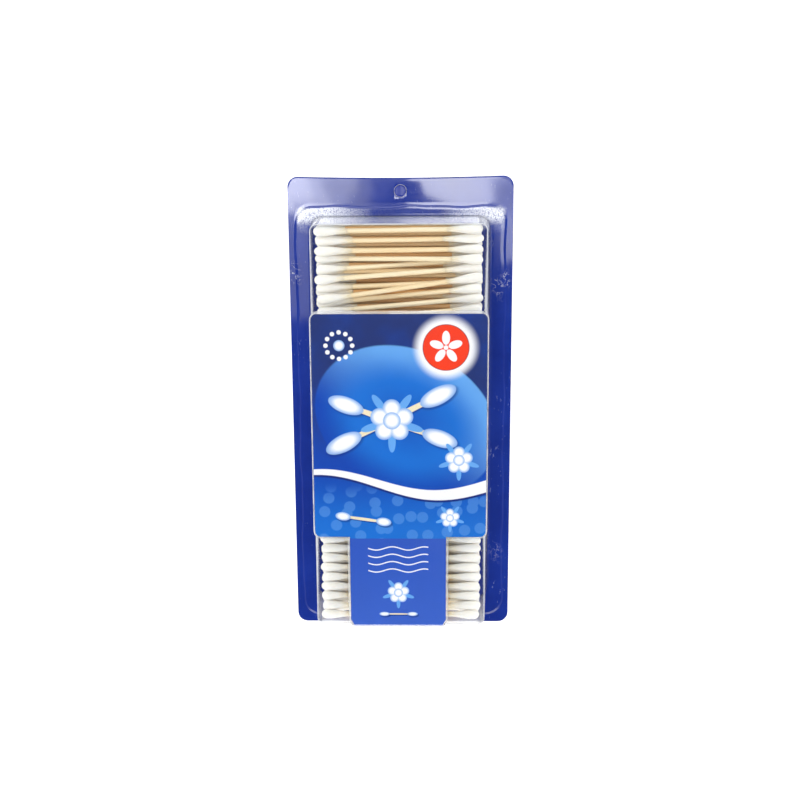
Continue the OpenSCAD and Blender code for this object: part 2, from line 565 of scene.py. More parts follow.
@dataclass(frozen=True)
class ClearFilm:
    """Clear formed film: nearly unseen when faced, whiter where seen edge on, and painted white along its
    rolled edges and on its walls as their highlight.
    """

    name: str = "clear formed film"
    tint: Colour = paint(246, 249, 254)
    ior: float = 1.5
    specular: float = 0.8
    coat: float = 0.6
    coat_roughness: float = 0.06
    roughness: Span = (0.06, 0.14)
    facing_blend: float = 0.3
    facing: Span = (0.05, 1.0)
    seen: Span = (0.003, 0.9)
    peel_scale: float = 160.0
    peel: float = 0.1
    peel_depth: float = 0.0004
    cloud_scale: float = 22.0
    clouds: Span = (0.5, 0.78)
    haze: Span = (0.0, 0.006)
    uneven: Span = (0.3, 0.6)
    # How opaque the painted white highlight of the rolled edges and walls is.
    edge: Span = (0.36, 0.8)

    def material(self) -> bpy.types.Material:
        """Builds the finish.

        Returns:
            The material.
        """
        made, graph, shader = new_material(self.name)
        grain = graph.group("coat grain", Vector=graph.here(), Fine=self.peel_scale, Cloud=self.cloud_scale)
        facing = graph.fill(graph.node("ShaderNodeLayerWeight"), Blend=self.facing_blend).outputs["Facing"]
        uneven = graph.spread(grain["Height"], self.uneven, self.edge)
        # Painted highlight: the film turns opaque white where its edges and walls are marked.
        line = graph.times(graph.attribute("painted_edge_glare"), uneven)
        shown = graph.math("MAXIMUM", graph.spread(facing, self.facing, self.seen), line)
        haze = graph.spread(grain["Cloudiness"], self.clouds, self.haze)
        graph.fill(shader, Base_Color=self.tint, IOR=self.ior, Specular_IOR_Level=self.specular,
                   Coat_Weight=self.coat, Coat_Roughness=self.coat_roughness,
                   Roughness=graph.spread(grain["Cloudiness"], CLOUDED, self.roughness),
                   Alpha=graph.math("ADD", shown, haze, clamp=True),
                   Normal=graph.bump(grain["Height"], self.peel, self.peel_depth))
        return made


@dataclass(frozen=True)
class PaleWood:
    """Pale split wood, streaked along the stick, with painted shade that turns the sticks of the rows under
    the front one darker and browner.
    """

    name: str = "pale split wood"
    light: Colour = paint(254, 241, 208)
    dark: Colour = paint(250, 224, 176)
    fleck: Colour = paint(206, 160, 98)
    painted_row_shade: Colour = paint(232, 178, 114)
    streak_scale: float = 900.0
    streaks: Span = (0.45, 1.05)
    own_share: float = 0.5
    row_shade_tints: Span = (1.0, 2.0)
    fleck_scale: float = 2200.0
    flecks: Span = (0.66, 0.8)
    fleck_strength: Span = (0.0, 0.4)
    roughness: float = 0.58
    relief: float = 0.5
    relief_depth: float = 0.00015

    def material(self) -> bpy.types.Material:
        """Builds the finish.

        Returns:
            The material.
        """
        made, graph, shader = new_material(self.name)
        at, own = graph.here(), graph.attribute("tint_and_row_shade")
        streak = graph.noise(graph.stretched(at, 0.035, 1.0), self.streak_scale, 4.0, 0.6)
        fleck = graph.noise(graph.stretched(at, 0.12, 1.0), self.fleck_scale)
        # Painted shade: the rows under the front one carry 1 more in their tint, which darkens their streaks
        # and turns them brown.
        tone = graph.plus(streak, graph.times(own, self.own_share))
        body = graph.over(graph.spread(tone, self.streaks), self.light, self.dark)
        body = graph.over(graph.spread(own, self.row_shade_tints), body, self.painted_row_shade)
        speck = graph.spread(fleck, self.flecks, self.fleck_strength)
        graph.fill(shader, Base_Color=graph.over(speck, body, self.fleck), Roughness=self.roughness,
                   Normal=graph.bump(streak, self.relief, self.relief_depth))
        return made


@dataclass(frozen=True)
class WoundCotton:
    """Soft white cotton, matt, with a light sheen, thin over the wood at its neck."""

    name: str = "wound cotton"
    high: Colour = paint(250, 246, 240)
    low: Colour = paint(249, 243, 233)
    wood: Colour = paint(243, 219, 170)
    fibre_scale: float = 1500.0
    fibres: Span = (0.3, 0.62)
    lump_scale: float = 320.0
    showing: Span = (0.55, 1.0)
    roughness: float = 0.95
    specular: float = 0.15
    soft: float = 1.0
    depth: float = 2.4
    reach: tuple[float, float, float] = (1.0, 0.95, 0.88)
    sheen: float = 0.1
    sheen_roughness: float = 0.6
    relief: float = 0.45
    relief_depth: float = 0.0002

    def material(self) -> bpy.types.Material:
        """Builds the finish.

        Returns:
            The material.
        """
        made, graph, shader = new_material(self.name)
        at = graph.here()
        fibre = graph.noise(graph.stretched(at, 0.45, 1.0), self.fibre_scale, 6.0, 0.7)
        tint = graph.spread(fibre, self.fibres)
        showing = graph.times(graph.attribute("thin"), graph.spread(tint, (1.0, 0.0), self.showing))
        height = graph.plus(fibre, graph.noise(at, self.lump_scale))
        graph.fill(shader, Base_Color=graph.over(showing, graph.over(tint, self.low, self.high), self.wood),
                   Roughness=self.roughness, Specular_IOR_Level=self.specular,
                   Subsurface_Weight=self.soft, Subsurface_Radius=self.reach,
                   Subsurface_Scale=self.depth * MM,
                   Sheen_Weight=self.sheen, Sheen_Roughness=self.sheen_roughness,
                   Normal=graph.bump(height, self.relief, self.relief_depth))
        return made


@dataclass(frozen=True)
class Repeat:
    """A motif that is repeated round a centre, in millimetres and radians."""

    x: float
    y: float
    count: int
    phase: float = 0.0


@dataclass(frozen=True)
class Oval:
    """One printed oval, in millimetres in the pack's own frame, or outwards from its repeat's centre."""

    x: float
    y: float
    rx: float
    ry: float
    colour: Colour
    turn: float = 0.0
    soft: float = 0.03
    strength: float = 1.0
    repeat: Repeat | None = None
    rim: Colour | None = None


@dataclass(frozen=True)
class Rules:
    """Thin wavy rules, one under another in a box, in millimetres."""

    left: float = -15.0
    right: float = 13.0
    low: float = -69.0
    high: float = -57.0
    pitch: float = 3.6
    half: float = 0.28
    soft: float = 0.12
    waves: float = 0.42
    swing: float = 0.8


@dataclass(frozen=True)
class Ribbon:
    """The pale ribbon that waves across the label and widens to the right, in millimetres."""

    shift: float = 10.0
    waves: float = 1 / 17.0
    level: float = -27.0
    swing: float = 5.5
    half: float = 2.1
    widening: float = 0.02
    shadow_drop: float = 0.9
    shadow: Span = (0.45, -0.15)
    body: Span = (0.15, -0.15)


class InkLayers:
    """Prints ovals, rules and a ribbon one over another in a material."""

    rim_fade: Span = (0.5, 1.0)

    def __init__(self, graph: Graph) -> None:
        """Keeps the material's graph and the place on the print, in millimetres.

        Args:
            graph: the material's graph.
        """
        self.graph = graph
        x, y, _ = graph.split(graph.here())
        self.x, self.y = graph.times(x, PER_MM), graph.times(y, PER_MM)
        self.at = graph.join(self.x, self.y)
        self.folds: dict[Repeat, Socket] = {}

    def folded(self, repeat: Repeat) -> Socket:
        """Gives the place within one sector round a repeat's centre, outwards along X.

        Args:
            repeat: the centre and how often the motif comes round it.

        Returns:
            The folded place.
        """
        if repeat not in self.folds:
            graph = self.graph
            dx, dy = graph.minus(self.x, repeat.x), graph.minus(self.y, repeat.y)
            half = math.pi / repeat.count
            angle = graph.minus(graph.math("ARCTAN2", dy, dx), repeat.phase)
            angle = graph.math("WRAP", angle, half, -half)
            square = graph.plus(graph.math("POWER", dx, 2.0), graph.math("POWER", dy, 2.0))
            radius = graph.math("SQRT", square)
            out, aside = (graph.times(radius, graph.math(way, angle)) for way in ("COSINE", "SINE"))
            self.folds[repeat] = graph.join(out, aside)
        return self.folds[repeat]

    def distance(self, oval: Oval) -> Socket:
        """Gives the distance from an oval's centre, 1 at its edge.

        Args:
            oval: the oval.

        Returns:
            The distance.
        """
        place = self.graph.node("ShaderNodeMapping", vector_type="TEXTURE")
        self.graph.fill(place, Vector=self.folded(oval.repeat) if oval.repeat else self.at,
                        Location=(oval.x, oval.y, 0.0), Rotation=(0.0, 0.0, oval.turn),
                        Scale=(oval.rx, oval.ry, 1.0))
        length = self.graph.node("ShaderNodeVectorMath", operation="LENGTH")
        self.graph.run(length, place.outputs[0])
        return length.outputs["Value"]

    def lay(self, under: Socket, ovals: Iterable[Oval]) -> Socket:
        """Prints ovals.

        Args:
            under: the colour so far.
            ovals: the ovals, lowest first.

        Returns:
            The colour with the ovals over it.
        """
        graph = self.graph
        for oval in ovals:
            distance = self.distance(oval)
            mask = graph.spread(distance, (1.0 - oval.soft, 1.0 + oval.soft), (oval.strength, 0.0))
            colour: object = oval.colour
            if oval.rim:
                colour = graph.over(graph.spread(distance, self.rim_fade), oval.colour, oval.rim)
            under = graph.over(mask, under, colour)
        return under

    def rule(self, under: Socket, colour: Colour, rules: Rules) -> Socket:
        """Prints wavy rules.

        Args:
            under: the colour so far.
            colour: the rules' colour.
            rules: where they are and how they wave.

        Returns:
            The colour with the rules over it.
        """
        graph, middle = self.graph, (rules.left + rules.right) / 2
        wave = graph.times(graph.math("SINE", graph.times(self.x, rules.waves)), rules.swing)
        row = graph.plus(graph.minus(self.y, rules.low), wave)
        row = graph.math("WRAP", row, rules.pitch / 2, -rules.pitch / 2)
        line = graph.spread(graph.math("ABSOLUTE", row), (rules.half + rules.soft, rules.half - rules.soft))
        aside = graph.math("ABSOLUTE", graph.minus(self.x, middle))
        within = (graph.math("LESS_THAN", aside, rules.right - middle),
                  graph.math("GREATER_THAN", self.y, rules.low - rules.pitch / 2),
                  graph.math("LESS_THAN", self.y, rules.high))
        for test in within:
            line = graph.times(line, test)
        return graph.over(line, under, colour)

    def wind(self, under: Socket, dusk: Colour, colour: Colour, ribbon: Ribbon) -> Socket:
        """Prints a ribbon over its soft shadow.

        Args:
            under: the colour so far.
            dusk: the shadow's colour.
            colour: the ribbon's colour.
            ribbon: how it waves.

        Returns:
            The colour with the ribbon over it.
        """
        graph = self.graph
        wave = graph.math("SINE", graph.times(graph.plus(self.x, ribbon.shift), ribbon.waves))
        off = graph.plus(graph.minus(self.y, ribbon.level), graph.times(wave, ribbon.swing))
        half = graph.plus(ribbon.half, graph.times(self.x, ribbon.widening))
        shadow = graph.minus(graph.math("ABSOLUTE", graph.plus(off, ribbon.shadow_drop)), half)
        under = graph.over(graph.spread(shadow, ribbon.shadow), under, dusk)
        body = graph.minus(graph.math("ABSOLUTE", off), half)
        return graph.over(graph.spread(body, ribbon.body), under, colour)


@dataclass(frozen=True)
class LabelPrint:
    """The insert's print: a lit lens of blue, big crossed swabs, bolls, a flower disc and a pale ribbon."""

    name: str = "label print"
    navy: Colour = paint(33, 53, 118)
    royal: Colour = paint(10, 72, 180)
    bright: Colour = paint(22, 116, 212)
    sky: Colour = paint(108, 174, 238)
    tongue: Colour = paint(50, 92, 194)
    tongue_deep: Colour = paint(60, 102, 202)
    white: Colour = paint(252, 253, 255)
    shade: Colour = paint(150, 188, 236)
    orange: Colour = paint(246, 66, 28)
    orange_edge: Colour = paint(150, 52, 60)
    stick: Colour = paint(246, 232, 196)
    dusk: Colour = paint(16, 44, 124)
    tongue_top: float = -53.4
    tongue_fade: Span = (-56.0, -96.0)
    royal_fade: Span = (24.0, -22.0)
    bright_fade: Span = (-18.0, -52.0)
    drop_fade: Span = (-26.0, -36.0)
    lit_fade: Span = (-16.0, 34.0)
    lit_slope: float = 0.7
    haze_scale: float = 0.045
    drop_scale: float = 0.13
    fine: float = 2400.0
    cloud: float = 60.0
    toned: Span = (0.0, 0.05)
    roughness: Span = (0.42, 0.55)
    specular: float = 0.1
    relief: float = 0.1
    relief_depth: float = 0.00008

    def boll(self, x: float, y: float, size: float) -> list[Oval]:
        """Draws a cotton boll: five round lobes about a sixth, in front of pointed leaves.

        Args:
            x: its centre across the pack.
            y: its centre along the pack.
            size: its radius.

        Returns:
            Its ovals, lowest first.
        """
        leaves, lobes = Repeat(x, y, 5, math.radians(54)), Repeat(x, y, 5, math.radians(90))
        return [
            Oval(0.98 * size, 0, 0.5 * size, 0.17 * size, self.sky, repeat=leaves),
            Oval(0.56 * size, 0, 0.44 * size, 0.42 * size, self.white, rim=self.shade, repeat=lobes),
            Oval(x, y, 0.4 * size, 0.4 * size, self.white, rim=self.shade),
        ]

    def flower_disc(self, x: float, y: float, r: float) -> list[Oval]:
        """Draws an orange disc in a white glow, with a plain five-petalled flower.

        Args:
            x: its centre across the pack.
            y: its centre along the pack.
            r: its radius.

        Returns:
            Its ovals, lowest first.
        """
        petals = Repeat(x, y, 5, math.radians(90))
        return [
            Oval(x, y, 1.28 * r, 1.28 * r, self.white, soft=0.18),
            Oval(x, y, r, r, self.orange_edge, soft=0.015),
            Oval(x, y, 0.97 * r, 0.97 * r, self.orange, soft=0.012),
            Oval(0.42 * r, 0, 0.3 * r, 0.17 * r, self.white, repeat=petals),
            Oval(x, y, 0.1 * r, 0.1 * r, self.white, soft=0.1),
        ]

    def rosette(self, x: float, y: float, r: float) -> list[Oval]:
        """Draws a ring of twelve white dots round a larger one."""
        return [Oval(r, 0, 0.17 * r, 0.17 * r, self.white, soft=0.08, repeat=Repeat(x, y, 12)),
                Oval(x, y, 0.42 * r, 0.42 * r, self.white, soft=0.06, rim=self.shade)]

    def swab(self, x: float, y: float, half: float, degrees: float, fat: float = 1.0) -> list[Oval]:
        """Draws a swab: a stick with a bud at each end, over its own soft shadow.

        Args:
            x: its middle across the pack.
            y: its middle along the pack.
            half: half its length.
            degrees: how far it is turned from lying across.
            fat: how thick it is drawn.

        Returns:
            Its ovals, lowest first.
        """
        turn, bud = math.radians(degrees), 0.27 * half
        buds, below = Repeat(x, y, 2, turn), Repeat(x + 0.5, y - 0.7, 2, turn)
        return [
            Oval(half - bud, 0, 1.04 * bud, 2.1 * fat, self.dusk, soft=0.14, strength=0.6, repeat=below),
            Oval(x + 0.4, y - 0.6, 0.9 * half, 0.75 * fat, self.dusk, turn=turn, soft=0.2, strength=0.6),
            Oval(x, y, 0.92 * half, 0.7 * fat, self.stick, turn=turn, soft=0.05),
            Oval(half - bud, 0, bud, 2.0 * fat, self.white, soft=0.03, rim=self.shade, repeat=buds),
        ]

    def panel(self) -> list[Oval]:
        """Gives the motifs of the panel.

        Returns:
            The ovals, lowest first.
        """
        return (self.rosette(-27, 37, 6.0) + self.flower_disc(21, 36, 10.5)
                + self.swab(-4, 3, 33, 27, 2.0) + self.swab(-3, 2, 31, -20, 1.9) + self.boll(-3.5, 2.5, 10.0)
                + self.boll(27, -16, 6.5) + self.swab(-17, -44, 13, -8) + self.boll(23, -43.5, 4.6))

    def tail(self) -> list[Oval]:
        """Gives the motifs of the tongue, lowest first."""
        return self.boll(-1, -80, 5.2) + self.swab(-1, -90.5, 9, 0, 0.5)

    def material(self) -> bpy.types.Material:
        """Builds the finish.

        Returns:
            The material.
        """
        made, graph, shader = new_material(self.name)
        inks = InkLayers(graph)
        colour = inks.lay(inks.wind(self.ground(inks), self.dusk, self.white, Ribbon()), self.panel())
        tongue = graph.over(graph.spread(inks.y, self.tongue_fade), self.tongue, self.tongue_deep)
        tongue = inks.lay(inks.rule(tongue, self.white, Rules()), self.tail())
        colour = graph.over(graph.math("LESS_THAN", inks.y, self.tongue_top), colour, tongue)
        grain = graph.group("coat grain", Vector=graph.here(), Fine=self.fine, Cloud=self.cloud)
        tone = graph.spread(grain["Cloudiness"], (0.35, 0.7), self.toned)
        graph.fill(shader, Base_Color=graph.over(tone, colour, self.navy),
                   Roughness=graph.spread(grain["Cloudiness"], CLOUDED, self.roughness),
                   Specular_IOR_Level=self.specular,
                   Normal=graph.bump(grain["Height"], self.relief, self.relief_depth))
        return made

    def ground(self, inks: InkLayers) -> Socket:
        """Prints the fields of blue and the large oval with its lit rim.

        Args:
            inks: the material's layers.

        Returns:
            The ground's colour.
        """
        graph, x, y = inks.graph, inks.x, inks.y
        haze = graph.spread(graph.noise(inks.at, self.haze_scale), (0.4, 0.7), (0.0, 0.35))
        ground = graph.over(haze, self.navy, self.royal)
        ground = graph.over(graph.spread(y, self.royal_fade), ground, self.royal)
        ground = graph.over(graph.spread(y, self.bright_fade), ground, self.bright)
        drops = graph.node("ShaderNodeTexVoronoi", voronoi_dimensions="2D")
        apart = graph.fill(drops, Vector=inks.at, Scale=self.drop_scale).outputs["Distance"]
        dots = graph.times(graph.spread(apart, (0.3, 0.38), (0.35, 0.0)), graph.spread(y, self.drop_fade))
        ground = graph.over(dots, ground, self.sky)
        within = inks.distance(Oval(3, 2, 43, 33, self.bright, turn=-0.45))
        lit = graph.spread(graph.plus(y, graph.times(x, self.lit_slope)), self.lit_fade)
        rim = graph.over(lit, self.royal, self.sky)
        inner = graph.over(graph.spread(within, (1.0, 0.5)), rim, self.bright)
        inner = graph.over(graph.spread(within, (0.6, 0.0), (0.0, 0.55)), inner, self.royal)
        return graph.over(graph.spread(within, (0.985, 1.015), (1.0, 0.0)), ground, inner)


@dataclass(frozen=True)
class Outline:
    """A rounded rectangle lying flat, in millimetres."""

    left: float
    right: float
    low: float
    high: float
    radius: float
    z: float

    def towards(self, other: "Outline", share: float) -> "Outline":
        """Gives the outline that lies a share of the way to another one."""
        return Outline(*(a + (b - a) * share for a, b in zip(astuple(self), astuple(other))))

    def grown(self, by: float, z: float) -> "Outline":
        """Gives the outline spread outwards by a distance, at another height."""
        return Outline(self.left - by, self.right + by, self.low - by, self.high + by, self.radius + by, z)

    def centre(self) -> Vector:
        """Gives the outline's centre."""
        return Vector(((self.left + self.right) / 2, (self.low + self.high) / 2, self.z))

    def halves(self) -> Vector:
        """Gives half the outline's width and half its height."""
        return Vector(((self.right - self.left) / 2, (self.high - self.low) / 2))


class RingSheet:
    """Builds one sheet of board by extruding a rounded outline from ring to ring."""

    corner_steps: int = 8
    edge_cuts: int = 44

    def build(self, name: str, outlines: Sequence[Outline], filled: bool) -> Piece:
        """Adds the first outline and extrudes it to each of the next.

        Args:
            name: the sheet's name.
            outlines: the outlines, outermost first.
            filled: True closes the innermost outline with a face.

        Returns:
            The sheet, its faces pointing up.
        """
        sheet = self.first_ring(name, outlines[0])
        for last, outline in zip(outlines, outlines[1:]):
            bpy.ops.mesh.extrude_region_move()
            self.move_ring(sheet.data, last, outline)
        if filled:
            bpy.ops.mesh.edge_face_add()
        select_all()
        bpy.ops.mesh.normals_make_consistent(inside=False)
        shape = bmesh.from_edit_mesh(sheet.data)
        if sum(face.normal.z * face.calc_area() for face in shape.faces) < 0:
            bpy.ops.mesh.flip_normals()
        mode("OBJECT")
        return sheet

    def first_ring(self, name: str, outline: Outline) -> Piece:
        """Adds the outermost outline as a loop of edges and leaves it selected in edit mode.

        Args:
            name: the sheet's name.
            outline: the outline.

        Returns:
            The sheet.
        """
        size, centre = outline.halves() * 2 * MM, outline.centre() * MM
        clear_selection()
        bpy.ops.mesh.primitive_plane_add(size=1.0, location=centre)
        sheet = adopt(name)
        mode("EDIT")
        bpy.ops.mesh.select_mode(type="VERT")
        select_all()
        resize(size.x, size.y, 1.0, centre)
        bpy.ops.mesh.bevel(offset=outline.radius * MM, segments=self.corner_steps, affect="VERTICES")
        select_where(sheet, Part.EDGE, lambda edge: edge.calc_length() > 4 * outline.radius * MM)
        bpy.ops.mesh.subdivide(number_cuts=self.edge_cuts)
        bpy.ops.mesh.select_mode(type="VERT")
        select_all()
        bpy.ops.mesh.delete(type="ONLY_FACE")
        select_all()
        return sheet

    @staticmethod
    def move_ring(mesh: bpy.types.Mesh, last: Outline, outline: Outline) -> None:
        """Moves the selected ring from the last outline to the next, corner to corner and side to side.

        Args:
            mesh: the sheet's mesh, in edit mode.
            last: the outline that it lies on.
            outline: the outline that it goes to.
        """
        shape = bmesh.from_edit_mesh(mesh)
        for vertex in shape.verts:
            if vertex.select:
                off = vertex.co * PER_MM - last.centre()
                for axis in (0, 1):
                    straight_last = last.halves()[axis] - last.radius
                    straight = outline.halves()[axis] - outline.radius
                    size = abs(off[axis])
                    if size <= straight_last:
                        size *= straight / straight_last
                    else:
                        size = straight + (size - straight_last) * outline.radius / last.radius
                    off[axis] = math.copysign(size, off[axis])
                vertex.co = (outline.centre() + Vector((off.x, off.y, 0.0))) * MM
        bmesh.update_edit_mesh(mesh)


@dataclass
class BoardPlies:
    """The two glued plies of blue board, the front one pressed up over the film's trapped flange."""

    ply: float = 0.5
    corner: float = 5.0
    sag: float = 0.9
    step_side: float = 3.7
    step_top: float = 14.5
    step_bottom: float = 4.4
    step_corner: float = 8.0
    step_rise: float = 0.4
    step_foot: float = 0.95
    step_shoulder: float = -0.35
    step_shares: tuple[float, ...] = (0.2, 0.4, 0.6, 0.8)
    window: Outline = Outline(-42.7, 42.7, -99.0, 93.2, 5.0, 0.0)
    back_centre: float = 30.0
    plateau_rise: float = -0.04
    hole_drop: float = 7.0
    hole_radius: float = 3.0
    cut_edge: float = 0.09
    band_rings: int = 9
    plateau_rings: int = 4
    lift: float = 0.12
    flap: float = 0.12
    still_rim: float = 3.0
    inside: float = 0.9997
    unevenness: float = 0.34
    front: CoatedBoard = CoatedBoard("blue coated board, front", paint(26, 53, 150), paint(18, 42, 132))
    back: CoatedBoard = CoatedBoard("blue coated board, back", paint(36, 56, 146), paint(28, 45, 130),
                                    roughness=(0.32, 0.42), coat=0.25, scuff_amount=0.6)
    # Each crease with a painted white glint: its centre across and along, its spread and its strength.
    glinting_creases: tuple[tuple[float, float, float, float], ...] = (
        (46.5, 58.5, 4.0, 0.9), (50.2, 62.5, 3.0, 1.0), (-50.8, 66.0, 3.5, 0.9), (47.0, -74.0, 6.0, 0.3))
    half: float = field(init=False)
    top: float = field(init=False)
    low: float = field(init=False)

    def __post_init__(self) -> None:
        """Takes the card's outer size from the frame."""
        corner_low, corner_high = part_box("front_card")
        self.half = corner_high.x * PER_MM
        self.low = corner_low.y * PER_MM
        self.top = -self.low

    def build(self) -> None:
        """Builds and dresses both plies."""
        put_on(self.front_ply(), self.front.material(), "card_blue_front", "front_card")
        put_on(self.back_ply(), self.back.material(), "card_blue_back", "back_card")

    def edge(self, z: float) -> Outline:
        """Gives the card's outer outline at a height."""
        return Outline(-self.half, self.half, self.low, self.top, self.corner, z)

    def step(self, spread: float, z: float) -> Outline:
        """Gives the pressed step's outline, spread outwards by a distance, at a height."""
        side, low, high = self.half - self.step_side, self.low + self.step_bottom, self.top - self.step_top
        return Outline(-side, side, low, high, self.step_corner, 0.0).grown(spread, z)

    def front_ply(self) -> Piece:
        """Builds the front ply: flat rim, pressed step, plateau that rises to the window's cut edge.

        Returns:
            The ply.
        """
        outer, across = 2 * self.ply, self.step_shoulder - self.step_foot
        foot = self.step(self.step_foot, outer)
        shoulder = self.step(self.step_shoulder, outer + self.step_rise)
        lip = self.window.grown(0.0, outer + self.step_rise + self.plateau_rise)
        rings = [self.edge(outer).towards(foot, k / self.band_rings) for k in range(self.band_rings + 1)]
        rings += [self.step(self.step_foot + across * share,
                            outer + self.step_rise * (0.5 - 0.5 * math.cos(math.pi * share)))
                  for share in self.step_shares]
        rings += [shoulder.towards(lip, k / self.plateau_rings) for k in range(self.plateau_rings + 1)]
        return self.finish_ply(RingSheet().build("front_ply", rings, filled=False))

    def back_ply(self) -> Piece:
        """Builds the back ply, a full sheet behind the window.

        Returns:
            The ply.
        """
        window = self.window.grown(0.0, self.ply)
        centre = replace(self.window.grown(-self.back_centre, self.ply), radius=self.window.radius)
        rings = [self.edge(self.ply).towards(window, k / 5) for k in range(6)]
        rings += [window.towards(centre, k / 4) for k in range(1, 5)]
        return self.finish_ply(RingSheet().build("back_ply", rings, filled=True))

    def finish_ply(self, sheet: Piece) -> Piece:
        """Gives a ply its bowed top, its slow waves, its thickness, its hole and its cut edges.

        Args:
            sheet: the flat ply.

        Returns:
            The ply.
        """
        places = read(sheet, "co") * PER_MM
        mark(sheet, "plateau_glint", self.plateau_glint(places))
        mark(sheet, "crease_glint", self.crease_glint(places))
        places[:, 1] -= self.bow(places)
        places[:, :2] = (places[:, :2] + self.wander(places)) * self.inside
        places[:, 2] += self.wave(places)
        sheet.data.vertices.foreach_set("co", (places * MM).astype(np.float32).ravel())
        sheet.data.update()
        thicken(sheet, self.ply)
        self.punch(sheet)
        round_edges(sheet, self.cut_edge, segments=2, sharper=60)
        smooth(sheet, 30.0)
        return sheet

    def punch(self, sheet: Piece) -> None:
        """Punches the hang hole.

        Args:
            sheet: the ply.
        """
        clear_selection()
        bpy.ops.mesh.primitive_cylinder_add(vertices=64, radius=self.hole_radius * MM, depth=10 * MM,
                                            location=(0, (self.top - self.hole_drop) * MM, 0))
        punch = adopt("punch")
        cut = sheet.modifiers.new("hang hole", "BOOLEAN")
        cut.operation = "DIFFERENCE"
        cut.object = punch
        cut.solver = "EXACT"
        apply_modifiers(sheet)
        bpy.data.objects.remove(punch)

    def bow(self, places: np.ndarray) -> np.ndarray:
        """Gives how far the top edge's bow pulls each place down, in millimetres."""
        near_top = np.clip((places[:, 1] - self.top + self.step_top) / self.step_top, 0.0, 1.0)
        return self.sag * (1.0 - (places[:, 0] / self.half) ** 2) * near_top

    def beyond_step(self, places: np.ndarray) -> np.ndarray:
        """Gives how far places lie outside the pressed step.

        Args:
            places: one row for each place, in millimetres.

        Returns:
            The distances in millimetres, negative inside.
        """
        side = np.abs(places[:, 0]) - (self.half - self.step_side)
        high = places[:, 1] - (self.top - self.step_top)
        low = self.low + self.step_bottom - places[:, 1]
        return np.maximum(side, np.maximum(high, low))

    def wave(self, places: np.ndarray) -> np.ndarray:
        """Gives how far handling has lifted the board, never below the table.

        Args:
            places: one row for each place, in millimetres.

        Returns:
            The lifts in millimetres.
        """
        x, y = places[:, 0], places[:, 1]
        slow = np.sin(x / 17.0 + 0.7) * np.cos(y / 23.0 - 0.4) + 0.6 * np.sin((x + 1.4 * y) / 11.0)
        free = np.clip(self.beyond_step(places) / 12.0, 0.0, 1.0)
        roll = 0.55 + 0.3 * np.sin(x / 9.5 + 0.9) + 0.15 * np.sin(x / 4.2 + y / 6.0)
        return self.lift * (0.5 + 0.2 * slow) + self.flap * free * roll

    def wander(self, places: np.ndarray) -> np.ndarray:
        """Gives how far the pressed step strays from its drawn line, not at all at the card's rim.

        Args:
            places: one row for each place, in millimetres.

        Returns:
            How far each place strays along X and Y, in millimetres.
        """
        x, y = places[:, 0], places[:, 1]
        room = np.minimum(self.half - np.abs(x), np.minimum(self.top - y, y - self.low))
        held = np.clip(room / self.still_rim, 0.0, 1.0)
        near = np.exp(-((self.beyond_step(places) / 2.4) ** 2)) * self.unevenness * held
        aside = near * (np.sin(y / 8.0 + 1.1) + 0.5 * np.sin(y / 3.3)) * (np.abs(x) > 0.8 * self.half)
        along = near * (np.sin(x / 6.3 + 0.4) + 0.5 * np.sin(x / 2.7)) * (np.abs(y) > 0.8 * self.top)
        return np.stack((aside, along), axis=1)

    def plateau_glint(self, places: np.ndarray) -> np.ndarray:
        """Gives how strongly white glints are painted on the coat, most at the plateau's upper corners.

        Args:
            places: one row for each place, in millimetres.

        Returns:
            The strengths, from 0 to 1.
        """
        shelf = np.clip(-self.beyond_step(places) / 1.2, 0.0, 1.0)
        ends = np.clip((np.abs(places[:, 0] - 3.0) - 16.0) / 22.0, 0.0, 1.0)
        head = np.clip((places[:, 1] - 88.0) / 4.0, 0.0, 1.0) * (0.04 + 0.96 * ends)
        return np.clip(shelf * head, 0.0, 1.0)

    def crease_glint(self, places: np.ndarray) -> np.ndarray:
        """Gives where fine crease lines are raised by bump and painted white as glints.

        Args:
            places: one row for each place, in millimetres.

        Returns:
            The strengths, from 0 to 1.
        """
        x, y = places[:, 0], places[:, 1]
        return np.clip(sum(most * np.exp(-((x - cx) ** 2 + (y - cy) ** 2) / spread)
                           for cx, cy, spread, most in self.glinting_creases), 0.0, 1.0)


@dataclass
class HoleDisc:
    """The punched disc that still sits in the hang hole, its top edge pushed back."""

    radius: float = 2.85
    thick: float = 0.8
    tilt: float = 3.4
    insets: tuple[Span, ...] = ((0.34, 0.0), (0.17, -0.16), (0.204, 0.12))
    tab: Span = (0.5, 0.42)
    torn_edge: float = 0.1
    finish: CoatedBoard = CoatedBoard("blue coated board, disc", paint(44, 62, 156), paint(28, 44, 134),
                                      roughness=(0.26, 0.36), coat=0.2, scuff_amount=0.5)

    def build(self) -> None:
        """Builds and dresses the disc with its two uncut nicks."""
        low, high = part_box("hang_hole_chad")
        clear_selection()
        bpy.ops.mesh.primitive_cylinder_add(vertices=64, radius=self.radius * MM, depth=self.thick * MM)
        disc = adopt("hang_hole_disc")
        mode("EDIT")
        select_where(disc, Part.FACE, lambda face: abs(face.normal.z) > 0.9)
        for width, depth in self.insets:
            bpy.ops.mesh.inset(thickness=width * MM, depth=depth * MM)
        self.add_tabs()
        select_all()
        bpy.ops.transform.rotate(value=math.radians(self.tilt), orient_axis="X", center_override=(0, 0, 0))
        mode("OBJECT")
        disc.location = (low + high) / 2
        freeze_place(disc)
        round_edges(disc, self.torn_edge, segments=3, sharper=30)
        smooth(disc, 35.0)
        put_on(disc, self.finish.material(), "chad_board", "hang_hole_chad")

    def add_tabs(self) -> None:
        """Adds the two nicks that hold the disc, one at each side."""
        for end in End:
            place = (end.value * self.radius * MM, 0, 0)
            bpy.ops.mesh.primitive_cube_add(size=1.0, location=place)
            resize(self.tab[0] * MM, self.tab[1] * MM, 0.5 * self.thick * MM, place)


